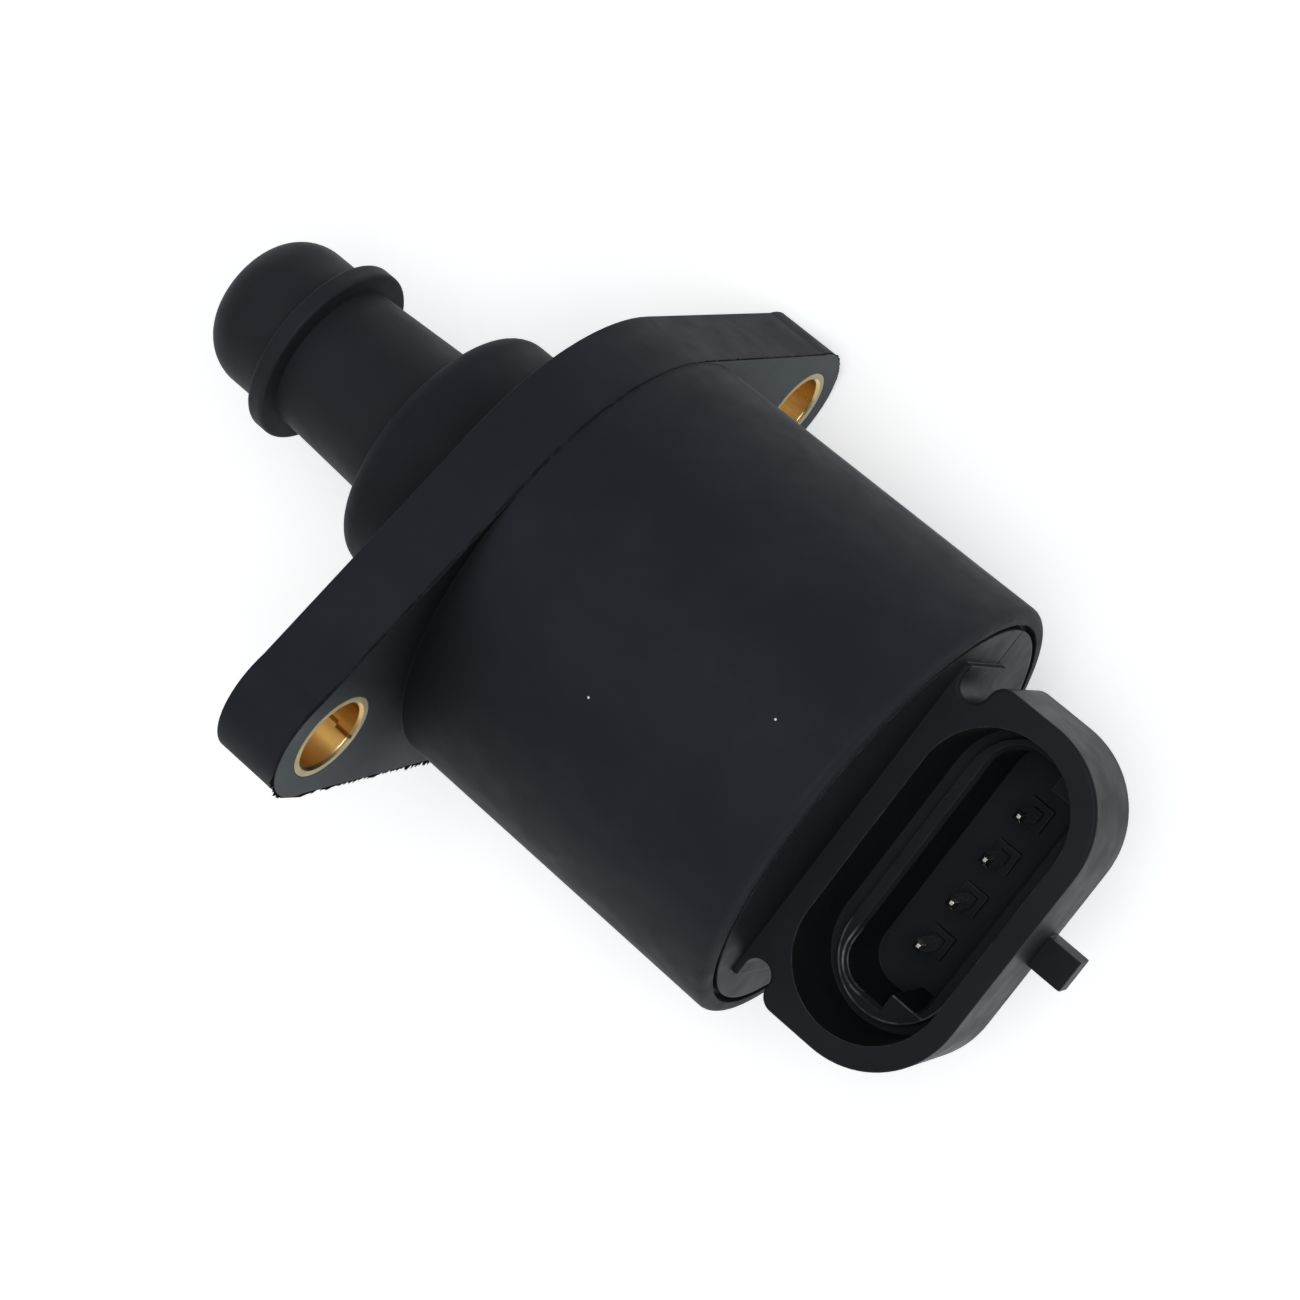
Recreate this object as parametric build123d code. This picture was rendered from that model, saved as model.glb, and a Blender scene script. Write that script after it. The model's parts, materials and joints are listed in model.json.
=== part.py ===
from build123d import *
import math
import os

os.makedirs("parts", exist_ok=True)

# Idle air control valve: a small linear stepper motor that slides a round-nosed plunger.
# X runs along the valve, from the nose (minus) to the plug end (plus), with zero on the
# flange's mounting face. Z is the way the plug socket faces. All sizes are in millimetres.

# Flange, boss and motor body
flange_thickness = 5.5
hole_spacing = 48.8
hole_line_angle = 130.0
ear_radius = 5.25
ear_side_inset = 0.1
flange_step = 0.1
flange_edge_radius = 0.12
body_front_diameter = 34.8
body_rear_diameter = 35.3
rear_edge_radius = 0.7
boss_diameter = 20.4
boss_length = 8.7
boss_edge_radius = 1.7
core_floor = 4.0
core_hub_wall = 2.0
core_ledge = 1.0

# Brass bushes in the ears
bush_bore_diameter = 5.5
bush_wall = 0.65
bush_edge_chamfer = 0.2

# Plunger, drawn as far out as in the photo
nose_diameter = 12.1
nose_length = 7.2
nose_edge_radius = 3.65
ring_diameter = 14.7
ring_thickness = 1.4
ring_edge_radius = 0.25
neck_reach = 10.6
neck_front_diameter = 11.7
shank_diameter = 12.64
neck_taper_length = 9.0
shank_in_guide = 8.7
spigot_diameter = 9.0
spigot_length = 3.0
nose_core_diameter = 5.6
nose_core_wall = 2.6
lug_reach = 1.18
lug_width = 2.8
lug_length = 3.0
travel_in = 8.0
travel_out = 2.0
stop_gap = 0.4

# Screw, nut and rotor
screw_diameter = 4.0
screw_tip_chamfer = 0.5
screw_pocket_diameter = 4.8
nut_diameter = 7.9
nut_length = 7.8
nut_groove_depth = 0.35
nut_groove_width = 1.0
journal_length = 3.1
hub_diameter = 9.6
hub_flange_diameter = 12.4
hub_flange_thickness = 0.8
magnet_diameter = 14.0
air_gap = 0.35

# Front ball bearing
bearing_outer_diameter = 17.0
bearing_bore = 6.0
bearing_width = 6.0
ball_diameter = 3.2
ball_count = 7
race_shoulder = 1.2
cage_thickness = 1.4
cage_width = 4.6

# Claw-pole stator, two halves back to back
half_length = 7.1
half_gap = 0.2
sheet = 0.8
claw_count = 6
claw_base_width = 3.3
claw_tip_width = 1.9
claw_tip_gap = 0.5
bobbin_wall = 0.7
bobbin_can_gap = 0.4
coil_inset = 1.0
wire_diameter = 0.4
lead_hole_diameter = 0.9
lead_hole_edge = 0.16

# End cap with its rear bush, seal and spring washer
cap_thickness = 3.8
cap_lip = 1.15
cap_ledge = 1.3
cap_groove_width = 0.45
cap_groove_depth = 0.8
seal_groove_depth = 0.9
seal_groove_width = 1.1
seal_inset = 0.9
rear_bush_diameter = 9.0
rear_bush_length = 2.4
washer_thickness = 0.3
washer_outer_diameter = 8.0

# Plug socket, measured from the cap's rear face and from the valve's axis
rim_height = 6.6
plug_centre = 7.15
shell_start = 2.5
shell_half_row = 13.55
shell_half_width = 7.15
shell_front_radius = 6.9
shell_rear_radius = 1.2
shell_foot_radius = 1.0
pad_thickness = 0.4
pad_step = 0.4
notch_flat = 0.05
shell_wall = 1.65
rim_edge_radius = 0.25
latch_edge_radius = 0.3
neck_step = 2.35
moat_depth = 8.2
moat_floor = 1.7
moat_end_width = 0.7
moat_side_width = 1.1
collar_height = 1.1
collar_wall = 1.05
socket_depth = 14.3
socket_floor = 1.3
lead_in = 0.3
well_corner_radius = 2.4
key_length = 1.2
key_offset = 1.1
latch_length = 2.7
latch_width = 2.5
latch_height = 2.4
latch_drop = 6.8
terminal_block_side = 1.485
terminal_block_floor = 1.4
parting_height = -0.8
parting_width = 0.16
parting_depth = 0.12

# Contact pins
pin_pitch = 3.81
pin_count = 4
pin_thickness = 0.8
pin_length = 5.0
pin_tip_chamfer = 0.27
pin_pad = 1.9
pin_pad_height = 0.4
leg_bend_radius = 1.0

# Fits and gaps
press_clearance = 0.02
slide_clearance = 0.08
key_clearance = 0.1
running_clearance = 0.04
seat_gap = 0.02
running_gap = 0.4
small_gap = 0.1

# Drawing helps: how far a cutter runs past a face, and how near an edge counts as lying on a plane
cut = 1.0
near = 0.01

# Stations along the valve that follow from the sizes
boss_front = -boss_length
ring_rear = boss_front - neck_reach
ring_front = ring_rear - ring_thickness
nose_tip = ring_front - nose_length
shank_rear = boss_front + shank_in_guide
bearing_front = shank_rear + travel_in + stop_gap + running_gap
bearing_rear = bearing_front + bearing_width
stator_front = bearing_rear + 2 * running_gap
stator_middle = stator_front + half_length + half_gap / 2
stator_rear = stator_front + 2 * half_length + half_gap
cap_front = stator_rear + small_gap
cap_rear = cap_front + cap_thickness
body_length = cap_rear
magnet_front = stator_front + running_gap
magnet_rear = stator_rear - running_gap
hub_rear = magnet_rear + small_gap
washer_front = hub_rear + small_gap
bush_front = cap_front + running_gap
screw_tip = shank_rear - nut_length - travel_out - small_gap
screw_rear = hub_rear + journal_length

# Radii that follow from the sizes
ear_side_radius = ear_radius - ear_side_inset
bush_radius = bush_bore_diameter / 2 + bush_wall
guide_radius = shank_diameter / 2 + slide_clearance
lug_radius = shank_diameter / 2 + lug_reach
race_radius = (bearing_outer_diameter + bearing_bore) / 4
pole_inner = magnet_diameter / 2 + air_gap
pole_outer = pole_inner + sheet
cap_bore_radius = body_rear_diameter / 2 - cap_lip
cap_plug_radius = cap_bore_radius - press_clearance
motor_bore_radius = cap_bore_radius - cap_ledge
can_radius = motor_bore_radius - small_gap
bobbin_inner = pole_outer + small_gap
bobbin_tube = bobbin_inner + bobbin_wall
bobbin_flange = can_radius - sheet - bobbin_can_gap
coil_radius = bobbin_flange - coil_inset

# Plug socket and contact pins, as they follow from the sizes
plug_x = cap_rear + plug_centre
socket_bottom = rim_height - socket_depth
moat_bottom = rim_height - moat_depth
shell_foot = moat_bottom - moat_floor
collar_top = moat_bottom + collar_height
mouth_half_row = shell_half_row - shell_wall
mouth_half_width = shell_half_width - shell_wall
collar_half_row = mouth_half_row - moat_end_width
collar_half_width = mouth_half_width - moat_side_width
neck_half_row = shell_half_row - neck_step
pad_half_row = shell_half_row - pad_step
notch_radius = (shell_start - pad_thickness) / 2 - notch_flat
pin_rows = [(i - (pin_count - 1) / 2) * pin_pitch for i in range(pin_count)]
inner_rows = pin_rows[1:-1]
outer_rows = [pin_rows[0], pin_rows[-1]]
lead_reach = bobbin_flange - lead_hole_diameter / 2 - lead_hole_edge
leg_z = -math.sqrt(lead_reach ** 2 - pin_rows[-1] ** 2)
leg_end = stator_rear - sheet + small_gap


def rod(x0, x1, radius):
    """Round bar along the valve's axis."""
    return Pos((x0 + x1) / 2, 0, 0) * Rot(0, 90, 0) * Cylinder(radius, x1 - x0)


def ring(x0, x1, outer, inner):
    """Round tube along the valve's axis."""
    return rod(x0, x1, outer) - rod(x0 - cut, x1 + cut, inner)


def turned(points):
    """Solid turned about the valve's axis from (x, radius) points."""
    return revolve(make_face(Polyline(*points, close=True)), Axis.X)


def block(x, y, z):
    """Box from three (low, high) pairs."""
    size = [x[1] - x[0], y[1] - y[0], z[1] - z[0]]
    return Pos((x[0] + x[1]) / 2, (y[0] + y[1]) / 2, (z[0] + z[1]) / 2) * Box(*size)


def level(shape, axis, place):
    """Edges of a shape that lie across an axis at one place."""
    return shape.edges().filter_by_position(axis, place - near, place + near)


def rounds(solid, x):
    """Circular edges of a solid that lie at station x."""
    return level(solid, Axis.X, x).filter_by(GeomType.CIRCLE)


def hole_centres():
    """(y, z) of the two screw holes, upper ear first."""
    angle = math.radians(hole_line_angle)
    y = hole_spacing / 2 * math.cos(angle)
    z = hole_spacing / 2 * math.sin(angle)
    return [(y, z), (-y, -z)]


def flange_outline():
    """Two ears joined to the body's circle by straight tangent sides."""
    reach = hole_spacing / 2
    middle = body_front_diameter / 2 + flange_step
    slope = (middle - ear_side_radius) / reach
    rise = math.sqrt(1 - slope * slope)
    inner = (middle * slope, middle * rise)
    outer = (reach + ear_side_radius * slope, ear_side_radius * rise)
    corners = [outer, inner, (-inner[0], inner[1]), (-outer[0], outer[1])]
    corners += [(x, -y) for x, y in reversed(corners)]
    outline = make_face(Polyline(*corners, close=True)) + Circle(middle)
    for x in (-reach, reach):
        outline += Pos(x, 0) * Circle(ear_radius)
    return outline


def flange():
    plate = extrude(Plane.YZ * (Rot(0, 0, hole_line_angle) * flange_outline()), flange_thickness)
    edges = level(plate, Axis.X, 0) + level(plate, Axis.X, flange_thickness)
    return fillet(edges, flange_edge_radius)


def keyways():
    """Two slots beside the guide bore that keep the plunger from turning."""
    half = lug_width / 2 + key_clearance
    top = lug_radius + key_clearance
    front = shank_rear - lug_length - travel_out - stop_gap
    return block((front, bearing_front), (-top, top), (-half, half))


def housing():
    body = turned([
        (flange_thickness / 2, 0),
        (flange_thickness / 2, body_front_diameter / 2),
        (body_length, body_rear_diameter / 2),
        (body_length, 0),
    ])
    body = fillet(rounds(body, body_length), rear_edge_radius)
    boss = rod(boss_front, flange_thickness / 2, boss_diameter / 2)
    boss = fillet(rounds(boss, boss_front), boss_edge_radius)
    solid = flange() + body + boss
    solid -= rod(boss_front - cut, bearing_front, guide_radius)
    solid -= keyways()
    solid -= rod(bearing_front, stator_front, bearing_outer_diameter / 2 + press_clearance)
    solid -= rod(stator_front - seat_gap, cap_front, motor_bore_radius)
    hub = bearing_outer_diameter / 2 + core_hub_wall
    solid -= ring(core_floor, stator_front, motor_bore_radius - core_ledge, hub)
    solid -= rod(cap_front - seat_gap, body_length + cut, cap_bore_radius)
    for y, z in hole_centres():
        hole = bush_radius + press_clearance
        solid -= Pos(0, y, z) * rod(-cut, flange_thickness + cut, hole)
    return solid


def flange_bush(centre):
    bush = ring(0, flange_thickness, bush_radius, bush_bore_diameter / 2)
    mouths = bush.edges().filter_by(GeomType.CIRCLE).group_by(SortBy.RADIUS)[0]
    return Pos(0, *centre) * chamfer(mouths, bush_edge_chamfer)


def plunger_head():
    nose = rod(nose_tip, ring_rear, nose_diameter / 2)
    nose = fillet(rounds(nose, nose_tip), nose_edge_radius)
    collar = rod(ring_front, ring_rear, ring_diameter / 2)
    collar = fillet(collar.edges().filter_by(GeomType.CIRCLE), ring_edge_radius)
    solid = nose + collar
    seat = spigot_diameter / 2 + press_clearance
    solid -= rod(ring_rear - spigot_length - small_gap, ring_rear + cut, seat)
    return solid - rod(nose_tip + nose_core_wall, ring_rear, nose_core_diameter / 2)


def plunger_shank():
    taper_end = ring_rear + neck_taper_length
    solid = turned([
        (ring_rear - spigot_length, 0),
        (ring_rear - spigot_length, spigot_diameter / 2),
        (ring_rear + seat_gap, spigot_diameter / 2),
        (ring_rear + seat_gap, neck_front_diameter / 2),
        (taper_end, shank_diameter / 2),
        (shank_rear, shank_diameter / 2),
        (shank_rear, 0),
    ])
    half = lug_width / 2
    solid += block((shank_rear - lug_length, shank_rear), (-lug_radius, lug_radius), (-half, half))
    nut_seat = nut_diameter / 2 + press_clearance
    solid -= rod(shank_rear - nut_length - small_gap, shank_rear + cut, nut_seat)
    pocket_end = screw_tip - travel_in - small_gap
    return solid - rod(pocket_end, shank_rear, screw_pocket_diameter / 2)


def plunger_nut():
    front = shank_rear - nut_length
    nut = ring(front, shank_rear, nut_diameter / 2, screw_diameter / 2 + running_clearance)
    for share in (1 / 3, 2 / 3):
        middle = front + nut_length * share
        groove = (middle - nut_groove_width / 2, middle + nut_groove_width / 2)
        nut -= ring(*groove, nut_diameter / 2 + cut, nut_diameter / 2 - nut_groove_depth)
    return nut


def lead_screw():
    """One steel shaft: screw in front, bearing seat, hub seat and rear journal."""
    seat_end = (magnet_front + magnet_rear) / 2
    shaft = turned([
        (screw_tip, 0),
        (screw_tip, screw_diameter / 2 - screw_tip_chamfer),
        (screw_tip + screw_tip_chamfer, screw_diameter / 2),
        (bearing_front, screw_diameter / 2),
        (bearing_front, bearing_bore / 2),
        (seat_end, bearing_bore / 2),
        (seat_end, screw_diameter / 2),
        (screw_rear, screw_diameter / 2),
        (screw_rear, 0),
    ])
    return shaft


def rotor_hub():
    """Moulded hub that carries the magnet and backs the bearing's inner ring."""
    collar = bearing_bore / 2 + race_shoulder
    solid = rod(bearing_rear + seat_gap, magnet_front, collar)
    solid += rod(magnet_front - hub_flange_thickness, magnet_front, hub_flange_diameter / 2)
    solid += rod(magnet_front, hub_rear, hub_diameter / 2)
    seat_end = (magnet_front + magnet_rear) / 2
    solid -= rod(bearing_front, seat_end + press_clearance, bearing_bore / 2 + press_clearance)
    return solid - rod(bearing_front, hub_rear + cut, screw_diameter / 2 + press_clearance)


def rotor_magnet():
    bore = hub_diameter / 2 + press_clearance
    return ring(magnet_front + seat_gap, magnet_rear, magnet_diameter / 2, bore)


def ball_centres():
    middle = (bearing_front + bearing_rear) / 2
    angles = [2 * math.pi * i / ball_count for i in range(ball_count)]
    return [(middle, race_radius * math.cos(a), race_radius * math.sin(a)) for a in angles]


def race_groove():
    """Ring of round section that the balls run in."""
    middle = (bearing_front + bearing_rear) / 2
    section = Pos(middle, race_radius) * Circle(ball_diameter / 2 + running_clearance)
    return revolve(section, Axis.X)


def bearing_outer_ring():
    inner = bearing_outer_diameter / 2 - race_shoulder
    return ring(bearing_front, bearing_rear, bearing_outer_diameter / 2, inner) - race_groove()


def bearing_inner_ring():
    outer = bearing_bore / 2 + race_shoulder
    return ring(bearing_front, bearing_rear, outer, bearing_bore / 2 + press_clearance) - race_groove()


def bearing_balls():
    return [Pos(*centre) * Sphere(ball_diameter / 2) for centre in ball_centres()]


def bearing_cage():
    middle = (bearing_front + bearing_rear) / 2
    half = cage_width / 2
    outer = race_radius + cage_thickness / 2
    solid = ring(middle - half, middle + half, outer, race_radius - cage_thickness / 2)
    for centre in ball_centres():
        solid -= Pos(*centre) * Sphere(ball_diameter / 2 + running_clearance)
    return solid


def claws(base, tip, turn):
    """Ring of tapered pole teeth between two stations, the first one turned by some degrees."""
    tooth = make_face(Polyline(
        (base, -claw_base_width / 2),
        (base, claw_base_width / 2),
        (tip, claw_tip_width / 2),
        (tip, -claw_tip_width / 2),
        close=True,
    ))
    wedge = extrude(tooth, pole_outer + cut)
    low, high = min(base, tip), max(base, tip)
    tube = ring(low, high, pole_outer, pole_inner)
    teeth = [tube & (Rot(turn + i * 360 / claw_count, 0, 0) * wedge) for i in range(claw_count)]
    return teeth


def stator_cup(outer_face, inward, turn):
    """Drawn can: end wall, outer wall and pole teeth."""
    wall_end = outer_face + inward * (half_length - sheet - seat_gap)
    tip = outer_face + inward * (half_length - sheet - claw_tip_gap)
    wall_face = outer_face + inward * sheet
    solid = ring(min(outer_face, wall_face), max(outer_face, wall_face), can_radius, pole_inner)
    solid += ring(min(outer_face, wall_end), max(outer_face, wall_end), can_radius, can_radius - sheet)
    for tooth in claws(outer_face, tip, turn):
        solid += tooth
    return solid


def stator_plate(inner_face, outward, turn):
    """Flat ring that closes a can, with its own pole teeth."""
    wall_face = inner_face + outward * sheet
    tip = inner_face + outward * (half_length - sheet - claw_tip_gap)
    solid = ring(min(inner_face, wall_face), max(inner_face, wall_face), can_radius, pole_inner)
    for tooth in claws(inner_face, tip, turn):
        solid += tooth
    return solid


def lead_holes(x0, x1, rows):
    """Straight ways for coil leads."""
    return [Pos(0, y, leg_z) * rod(x0, x1, lead_hole_diameter / 2) for y in rows]


pole_pitch = 180 / claw_count
step_turn = pole_pitch / 2
front_half_end = stator_middle - half_gap / 2
rear_half_start = stator_middle + half_gap / 2


def stator_front_cup():
    return stator_cup(stator_front, 1, 0)


def stator_front_plate():
    solid = stator_plate(front_half_end, -1, pole_pitch)
    for hole in lead_holes(stator_front, stator_rear, outer_rows):
        solid -= hole
    return solid


def stator_rear_plate():
    solid = stator_plate(rear_half_start, 1, step_turn + pole_pitch)
    for hole in lead_holes(stator_front, stator_rear, outer_rows):
        solid -= hole
    return solid


def terminal_bar_size(gap):
    """Half width, low z and high z of the rear bobbin's terminal bar, grown by a gap."""
    half = outer_rows[1] + pin_thickness / 2 + bobbin_wall / 2 + gap
    wall = pin_thickness / 2 + bobbin_wall / 2 + gap
    return half, leg_z - wall, leg_z + wall


def stator_rear_cup():
    half, low, high = terminal_bar_size(small_gap)
    window = block((stator_rear - sheet - small_gap, stator_rear + cut), (-half, half), (low, high))
    return stator_cup(stator_rear, -1, step_turn) - window


def bobbin(x0, x1):
    return turned([
        (x0, bobbin_inner),
        (x0, bobbin_flange),
        (x0 + bobbin_wall, bobbin_flange),
        (x0 + bobbin_wall, bobbin_tube),
        (x1 - bobbin_wall, bobbin_tube),
        (x1 - bobbin_wall, bobbin_flange),
        (x1, bobbin_flange),
        (x1, bobbin_inner),
    ])


def front_bobbin():
    solid = bobbin(stator_front + sheet + small_gap, front_half_end - sheet - small_gap)
    for hole in lead_holes(stator_middle - half_length / 2, stator_middle, outer_rows):
        solid -= hole
    return solid


def rear_bobbin():
    """Rear coil former, with a bar behind it that takes the feet of the contact pins."""
    start = rear_half_start + sheet + small_gap
    end = stator_rear - sheet - small_gap
    half, low, high = terminal_bar_size(0)
    bar = block((end - bobbin_wall / 2, stator_rear), (-half, half), (low, high))
    low_edges = bar.edges().filter_by(Axis.X).group_by(Axis.Z)[0]
    solid = bobbin(start, end) + chamfer(low_edges, bobbin_wall / 2)
    for hole in lead_holes(stator_middle, leg_end, outer_rows):
        solid -= hole
    for hole in lead_holes(end - 2 * bobbin_wall, leg_end, inner_rows):
        solid -= hole
    foot = pin_thickness / 2 + press_clearance
    for y in pin_rows:
        solid -= block((leg_end, stator_rear + cut), (y - foot, y + foot), (leg_z - foot, leg_z + foot))
    return solid


def winding(x0, x1):
    return ring(x0, x1, coil_radius, bobbin_tube + press_clearance)


def front_coil():
    """Front winding with two leads that step outwards and run back past the rear winding."""
    start = stator_front + sheet + small_gap + bobbin_wall + seat_gap
    end = front_half_end - sheet - small_gap - bobbin_wall - seat_gap
    solid = winding(start, end)
    middle = (start + end) / 2
    for y in outer_rows:
        solid += Pos(0, y, leg_z) * rod(middle, leg_end - seat_gap, wire_diameter / 2)
        inward = coil_radius - wire_diameter
        reach = math.hypot(y, leg_z)
        angle = math.degrees(math.atan2(leg_z, y))
        stub = Pos((inward + reach) / 2, 0, 0) * Rot(0, 90, 0) * Cylinder(wire_diameter / 2, reach - inward)
        solid += Pos(middle, 0, 0) * Rot(angle, 0, 0) * Rot(0, 0, 90) * stub
        solid += Pos(middle, y, leg_z) * Sphere(wire_diameter / 2)
    return solid


def rear_coil():
    start = rear_half_start + sheet + small_gap + bobbin_wall + seat_gap
    end = stator_rear - sheet - small_gap - bobbin_wall - seat_gap
    solid = winding(start, end)
    for y in inner_rows:
        solid += Pos(0, y, leg_z) * rod(end - wire_diameter, leg_end - seat_gap, wire_diameter / 2)
    return solid


def rear_bush():
    return ring(bush_front, bush_front + rear_bush_length, rear_bush_diameter / 2,
                screw_diameter / 2 + running_clearance)


def preload_washer():
    """Dished washer that leans on the rear bush."""
    inner = screw_diameter / 2 + small_gap
    outer = washer_outer_diameter / 2
    back = bush_front - seat_gap
    return turned([
        (washer_front, inner),
        (washer_front + washer_thickness, inner),
        (back, outer),
        (back - washer_thickness, outer),
    ])


def cap_seal():
    depth = seal_groove_depth - press_clearance
    middle = cap_plug_radius - depth / 2
    section = Pos(cap_front + seal_inset + seal_groove_width / 2, middle) * Circle(depth / 2)
    return revolve(section, Axis.X)


def oval(half_row, half_width, z0, z1):
    """Upright stadium-shaped block about the plug's centre line."""
    outline = SlotOverall(2 * half_row, 2 * half_width, rotation=90)
    return Pos(plug_x, 0, z0) * extrude(outline, z1 - z0)


def strip(x0, x1, half_row):
    """Rectangle across the plug's row of pins."""
    return Pos((x0 + x1) / 2, 0) * Rectangle(x1 - x0, 2 * half_row)


def shell_outline():
    """Plan of the socket's outer wall: wide rounded end away from the body, tight corners near it."""
    outline = strip(cap_rear + shell_start, plug_x + shell_half_width, shell_half_row)
    outline = fillet(outline.vertices().group_by(Axis.X)[-1], shell_front_radius)
    return fillet(outline.vertices().group_by(Axis.X)[0], shell_rear_radius)


def neck_outline():
    """Plan of the socket with its neck: a thin pad on the lid, and a round notch at each end of the row."""
    outline = shell_outline() + strip(cap_rear - cut, plug_x, neck_half_row)
    outline += strip(cap_rear - cut, cap_rear + pad_thickness, pad_half_row)
    corners = [v for v in outline.vertices() if abs(abs(v.Y) - neck_half_row) < near]
    return fillet(corners, notch_radius)


def plug_shell():
    """Outer wall of the socket, and the neck that joins it to the lid."""
    shell = Pos(0, 0, shell_foot) * extrude(shell_outline(), rim_height - shell_foot)
    shell = fillet(level(shell, Axis.Z, shell_foot), shell_foot_radius)
    neck_foot = shell_foot + shell_foot_radius
    shell += Pos(0, 0, neck_foot) * extrude(neck_outline(), rim_height - neck_foot)
    return fillet(level(shell, Axis.Z, rim_height), rim_edge_radius)


def plug_body():
    """Solid form of the socket, before it is hollowed."""
    floor = socket_bottom - socket_floor
    neck = (cap_rear - cut, plug_x)
    solid = plug_shell() + oval(collar_half_row, collar_half_width, floor, moat_bottom)
    lower = collar_half_row - collar_half_width
    solid += block(neck, (-lower, lower), (floor, moat_bottom))
    bottom = leg_z - pin_thickness / 2 - terminal_block_floor
    end = plug_x + pin_thickness / 2 + terminal_block_floor
    side = pin_rows[-1] + pin_thickness / 2 + terminal_block_side
    legs = block((cap_rear - cut, end), (-side, side), (bottom, floor + cut))
    outer = level(legs, Axis.Z, bottom).filter_by(Axis.Y).group_by(Axis.X)[-1]
    return solid + fillet(outer, terminal_block_floor)


def plug_hollow():
    """Space for the mating plug: wide mouth, moat round the collar, deep well for the pins."""
    mouth = oval(mouth_half_row, mouth_half_width, moat_bottom, rim_height + cut)
    collar = oval(collar_half_row, collar_half_width, moat_bottom, collar_top)
    well_row = collar_half_row - collar_wall
    well_width = collar_half_width - collar_wall
    line = RectangleRounded(2 * well_width, 2 * well_row, well_corner_radius)
    well = Pos(plug_x, 0, socket_bottom) * extrude(line, rim_height - socket_bottom)
    well += Pos(plug_x, 0, collar_top - lead_in) * extrude(line, lead_in, taper=-45)
    return mouth - collar + (well - plug_keys(well_row, well_width))


def plug_keys(well_row, well_width):
    """Blocks in two corners of the well, so that the plug goes in one way only."""
    reach = (plug_x + key_offset, plug_x + well_width + cut)
    side = (well_row - key_length, well_row + cut)
    keys = block(reach, side, (socket_bottom - cut, collar_top))
    return keys + mirror(keys, Plane.XZ)


def latch_tab():
    x0 = plug_x + shell_half_width
    top = rim_height - latch_drop
    half = latch_width / 2
    tab = block((x0 - cut, x0 + latch_length), (-half, half), (top - latch_height, top))
    return fillet(tab.edges().filter_by(Axis.Y).group_by(Axis.X)[-1], latch_edge_radius)


def pin_channels():
    """Ways through the cap for the bent contact pins."""
    half = pin_thickness / 2 + press_clearance
    channels = []
    for y in pin_rows:
        side = (y - half, y + half)
        channels.append(block((plug_x - half, plug_x + half), side, (leg_z - half, socket_bottom + cut)))
        channels.append(block((cap_front - cut, plug_x + half), side, (leg_z - half, leg_z + half)))
    return channels


def cap_disc():
    """Round lid that plugs the motor body, with a groove round its rear edge and one for the seal."""
    visible = cap_bore_radius - cap_groove_width
    disc = rod(cap_front, cap_rear - cap_groove_depth, cap_plug_radius) + rod(cap_front, cap_rear, visible)
    start = cap_front + seal_inset
    groove = cap_plug_radius - seal_groove_depth
    return disc - ring(start, start + seal_groove_width, cap_plug_radius + cut, groove)


def parting_line():
    """Fine mould line across the lid, from the end of the pad to the edge."""
    height = (parting_height - parting_width / 2, parting_height + parting_width / 2)
    return block((cap_rear - parting_depth, cap_rear + cut), (pad_half_row, cap_bore_radius), height)


def end_cap():
    solid = cap_disc() + plug_body() + latch_tab() - parting_line()
    solid -= plug_hollow()
    for y in pin_rows:
        half = pin_pad / 2
        solid += block((plug_x - half, plug_x + half), (y - half, y + half),
                       (socket_bottom - cut / 2, socket_bottom + pin_pad_height))
    for channel in pin_channels():
        solid -= channel
    solid -= rod(cap_front - cut, bush_front + rear_bush_length, rear_bush_diameter / 2 + press_clearance)
    solid -= rod(cap_front - cut, screw_rear + running_gap, screw_diameter / 2 + running_gap)
    return solid


def terminal(y):
    """Square pin that stands in the socket, bends and runs forward to the coils."""
    half = pin_thickness / 2
    top = socket_bottom + pin_length
    pin = block((plug_x - half, plug_x + half), (y - half, y + half), (leg_z - half, top))
    tip = level(pin, Axis.Z, top)
    leg = block((leg_end + seat_gap, plug_x + half), (y - half, y + half), (leg_z - half, leg_z + half))
    solid = chamfer(tip, pin_tip_chamfer) + leg
    corner = level(solid, Axis.Z, leg_z - half).filter_by(Axis.Y)
    return fillet(corner.group_by(Axis.X)[-1], leg_bend_radius)


def save(name, shape):
    """Write one node; a list becomes a group of separate solids."""
    shape = Compound(children=shape) if isinstance(shape, list) else shape
    export_step(shape, f"parts/{name}.step")


upper_hole, lower_hole = hole_centres()
save("housing", housing())
save("flange_bush_upper", flange_bush(upper_hole))
save("flange_bush_lower", flange_bush(lower_hole))
save("plunger_head", plunger_head())
save("plunger_shank", plunger_shank())
save("plunger_nut", plunger_nut())
save("lead_screw", lead_screw())
save("rotor_hub", rotor_hub())
save("rotor_magnet", rotor_magnet())
save("bearing_outer_ring", bearing_outer_ring())
save("bearing_inner_ring", bearing_inner_ring())
save("bearing_balls", bearing_balls())
save("bearing_cage", bearing_cage())
save("stator_front_cup", stator_front_cup())
save("stator_front_plate", stator_front_plate())
save("stator_rear_plate", stator_rear_plate())
save("stator_rear_cup", stator_rear_cup())
save("front_bobbin", front_bobbin())
save("rear_bobbin", rear_bobbin())
save("front_coil", front_coil())
save("rear_coil", rear_coil())
save("rear_bush", rear_bush())
save("preload_washer", preload_washer())
save("cap_seal", cap_seal())
save("end_cap", end_cap())
for number, row in enumerate(pin_rows, start=1):
    save(f"terminal_{number}", terminal(row))
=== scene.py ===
import json
import math

import bmesh
import bpy
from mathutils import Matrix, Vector, noise as perlin


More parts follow.
